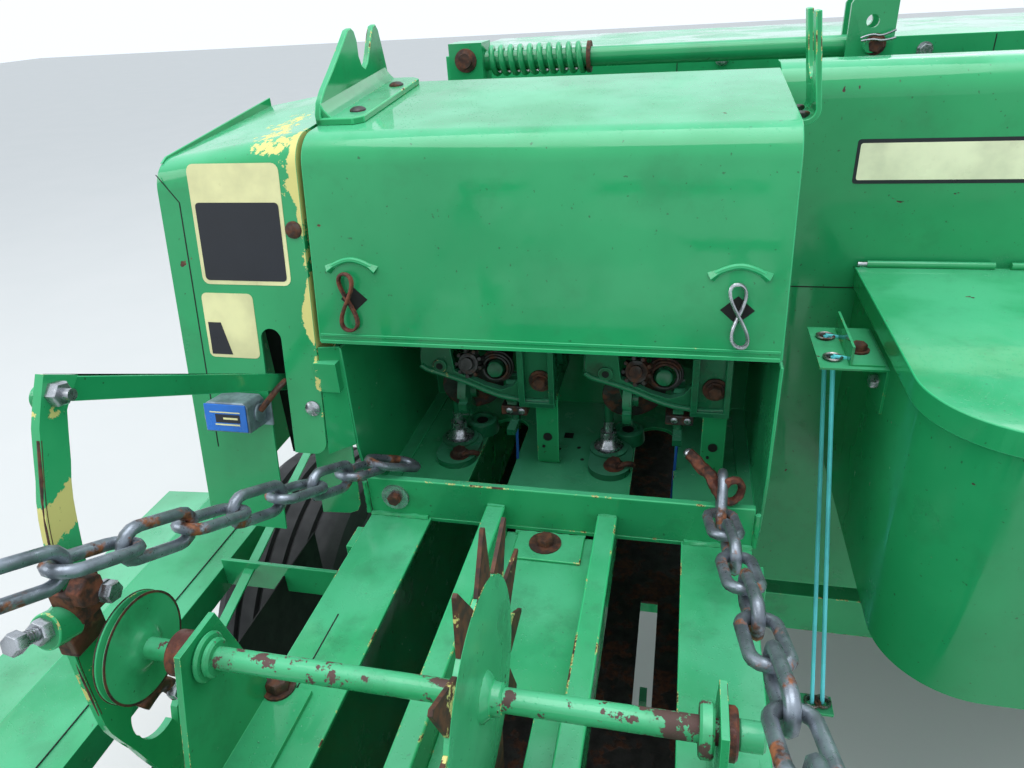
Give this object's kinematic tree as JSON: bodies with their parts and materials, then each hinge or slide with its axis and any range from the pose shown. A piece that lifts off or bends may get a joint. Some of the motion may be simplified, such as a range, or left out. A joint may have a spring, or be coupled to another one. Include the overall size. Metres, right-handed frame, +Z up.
{
  "type": "small square baler",
  "caption": "Towed small square baler with side pickup, open bale case, knotters under a hinged hood, folded bale chute, twine box and parking jack.",
  "frame": {"origin": "on the ground under the middle of the overall box", "axes": "+X to the machine's right, +Y forward to the tractor, +Z up"},
  "size_m": [2.6, 4.8997, 1.6372],
  "materials": {
    "green_paint": "worn gloss",
    "rim_paint": "worn gloss",
    "tyre": "matte",
    "wheel_rubber": "matte",
    "chain_steel": "galvanised",
    "bare_steel": "weathered",
    "cast": "painted casting",
    "blue_case": "satin",
    "black_guard": "satin"
  },
  "bodies": {
    "chassis": {"case_side_left": "green_paint", "case_side_right": "green_paint", "case_floor": "green_paint", "case_deck": "green_paint", "rear_top_plates": "green_paint", "tension_rails": "green_paint", "crossbar": "green_paint", "rear_tension": "green_paint", "bay_walls": "green_paint", "knotter_left": "cast", "knotter_right": "cast", "knotter_shaft": "bare_steel", "drive_shield": "green_paint", "counter": "blue_case", "trip_arm": "green_paint", "trip_link": "green_paint", "meter_brackets": "green_paint", "side_cover": "green_paint", "cover_straps": "green_paint", "main_frame": "green_paint", "axle": "green_paint", "gearbox": "cast", "flywheel_guard": "green_paint", "tongue": "green_paint", "pto_shaft": "black_guard", "feeder_floor": "green_paint", "rear_shield": "green_paint", "feeder_end": "green_paint", "front_cover": "green_paint", "feeder_fork": "green_paint", "feeder_rod": "green_paint", "rod_post": "green_paint", "feeder_spring": "bare_steel", "twine_box": "green_paint", "twine_guide": "green_paint", "plunger": "bare_steel", "needle_yoke": "bare_steel", "chute_hinge": "green_paint", "chain_left": "chain_steel", "chain_right": "chain_steel"},
    "hood": {"hood": "green_paint", "saddle_bracket": "green_paint", "catch_strap": "green_paint"},
    "twine_lid": {"twine_lid": "green_paint"},
    "meter": {"meter_wheel": "green_paint"},
    "left_wheel": {"tyre_left": "tyre", "rim_left": "rim_paint"},
    "right_wheel": {"tyre_right": "tyre", "rim_right": "rim_paint"},
    "flywheel": {"flywheel": "cast"},
    "pickup": {"pickup_frame": "green_paint", "stripper_bands": "green_paint", "windguard": "green_paint"},
    "reel": {"tine_reel": "bare_steel"},
    "gauge": {"gauge_wheel": "wheel_rubber"},
    "chute": {"bale_chute": "green_paint"},
    "jack": {"jack": "green_paint"}
  },
  "joints": [
    {"name": "wheel_left_spin", "type": "hinge", "parent": "chassis", "child": "left_wheel", "pos_m": [-1.14, -0.76, 0.36], "axis": [1, 0, 0], "continuous": true},
    {"name": "wheel_right_spin", "type": "hinge", "parent": "chassis", "child": "right_wheel", "pos_m": [1.12, -0.76, 0.33], "axis": [1, 0, 0], "continuous": true},
    {"name": "flywheel_spin", "type": "hinge", "parent": "chassis", "child": "flywheel", "pos_m": [-0.54, 1.16, 0.82], "axis": [0, 1, 0], "continuous": true},
    {"name": "meter_spin", "type": "hinge", "parent": "chassis", "child": "meter", "pos_m": [-0.54, -1.568, 1.125], "axis": [1, 0, 0], "continuous": true},
    {"name": "reel_spin", "type": "hinge", "parent": "pickup", "child": "reel", "pos_m": [0.418, 0.08, 0.4], "axis": [1, 0, 0], "continuous": true},
    {"name": "gauge_spin", "type": "hinge", "parent": "pickup", "child": "gauge", "pos_m": [1.25, -0.06, 0.232], "axis": [1, 0, 0], "continuous": true},
    {"name": "pickup_lift", "type": "hinge", "parent": "chassis", "child": "pickup", "pos_m": [0.418, -0.19, 0.6], "axis": [1, 0, 0], "range_deg": [0, 12]},
    {"name": "hood_hinge", "type": "hinge", "parent": "chassis", "child": "hood", "pos_m": [-0.54, -0.8703, 1.515], "axis": [-1, 0, 0], "range_deg": [0, 70]},
    {"name": "lid_hinge", "type": "hinge", "parent": "chassis", "child": "twine_lid", "pos_m": [0.1725, -0.879, 1.256], "axis": [-1, 0, 0], "range_deg": [0, 85]},
    {"name": "chute_fold", "type": "hinge", "parent": "chassis", "child": "chute", "pos_m": [-0.54, -2.35996, 0.63888], "axis": [1, 0, 0], "range_deg": [0, 85]},
    {"name": "jack_swing", "type": "hinge", "parent": "chassis", "child": "jack", "pos_m": [-0.7, 1.9, 0.48], "axis": [1, 0, 0], "range_deg": [-90, 0]}
  ]
}
